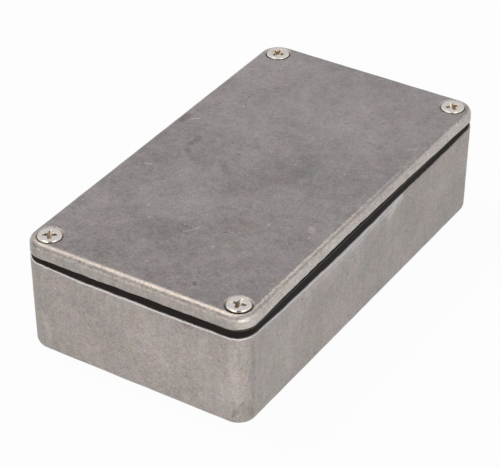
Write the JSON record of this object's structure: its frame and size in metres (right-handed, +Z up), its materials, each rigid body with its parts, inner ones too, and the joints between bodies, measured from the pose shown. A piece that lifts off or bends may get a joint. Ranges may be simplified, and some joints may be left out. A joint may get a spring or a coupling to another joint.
{
  "type": "die cast aluminium box",
  "caption": "Sealed die cast aluminium enclosure with a screwed lid and a rubber gasket, for small electronic circuits.",
  "frame": {"origin": "middle of the underside, which the box stands on", "axes": "+X along the length, +Y across the width, +Z up through the lid"},
  "size_m": [0.115, 0.0642, 0.0321],
  "materials": {
    "cast_aluminium": "as cast, tumbled, dull",
    "cast_aluminium_lid": "as cast, tumbled, dull, stained",
    "gasket_rubber": "matt",
    "plated_steel": "nickel plated, bright"
  },
  "bodies": {
    "base": {"base": "cast_aluminium", "gasket": "gasket_rubber"},
    "lid": {"lid": "cast_aluminium_lid"},
    "screw_front_left": {"lid_screw_front_left": "plated_steel"},
    "screw_front_right": {"lid_screw_front_right": "plated_steel"},
    "screw_rear_left": {"lid_screw_rear_left": "plated_steel"},
    "screw_rear_right": {"lid_screw_rear_right": "plated_steel"}
  },
  "joints": [
    {"name": "lid_lift", "type": "slide", "parent": "base", "child": "lid", "axis": [0, 0, 1], "range_m": [0, 0.045]},
    {"name": "screw_front_left_out", "type": "slide", "parent": "lid", "child": "screw_front_left", "axis": [0, 0, 1], "range_m": [0, 0.02]},
    {"name": "screw_front_right_out", "type": "slide", "parent": "lid", "child": "screw_front_right", "axis": [0, 0, 1], "range_m": [0, 0.02]},
    {"name": "screw_rear_left_out", "type": "slide", "parent": "lid", "child": "screw_rear_left", "axis": [0, 0, 1], "range_m": [0, 0.02]},
    {"name": "screw_rear_right_out", "type": "slide", "parent": "lid", "child": "screw_rear_right", "axis": [0, 0, 1], "range_m": [0, 0.02]}
  ]
}
